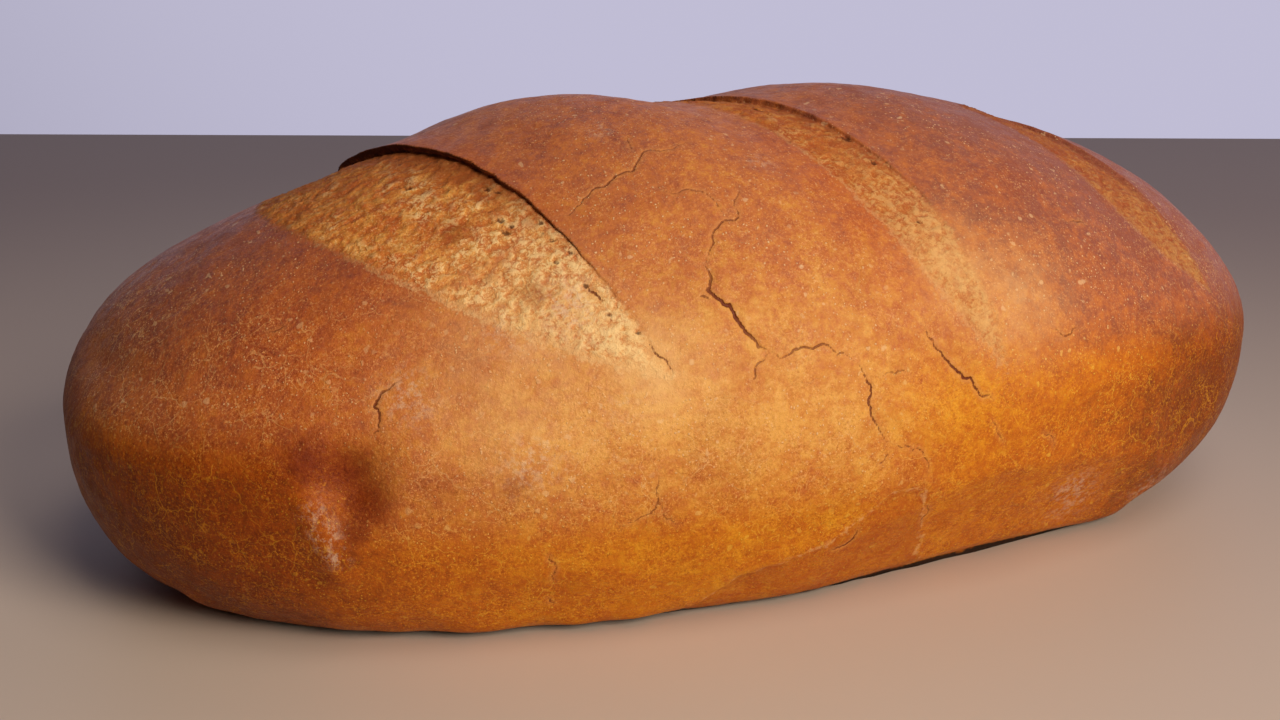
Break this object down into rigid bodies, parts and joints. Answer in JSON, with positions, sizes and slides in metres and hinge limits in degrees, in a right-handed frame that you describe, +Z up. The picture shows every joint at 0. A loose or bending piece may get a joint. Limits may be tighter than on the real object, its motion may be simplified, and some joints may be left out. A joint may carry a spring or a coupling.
{
  "type": "bread loaf",
  "caption": "Long oval semi-white bread loaf with a domed browned crust, diagonal scored cuts with raised lips across the top, and a flat base.",
  "frame": {"origin": "under the middle of the loaf's box, in the plane it rests on", "axes": "+X along the loaf, +Z up out of the base; the side seen in the picture is towards -Y"},
  "size_m": [0.3202, 0.1566, 0.1135],
  "materials": {
    "crust": "baked bread crust, golden to red-brown, dry and slightly satin"
  },
  "bodies": {
    "root": {"loaf": "crust"}
  },
  "joints": []
}
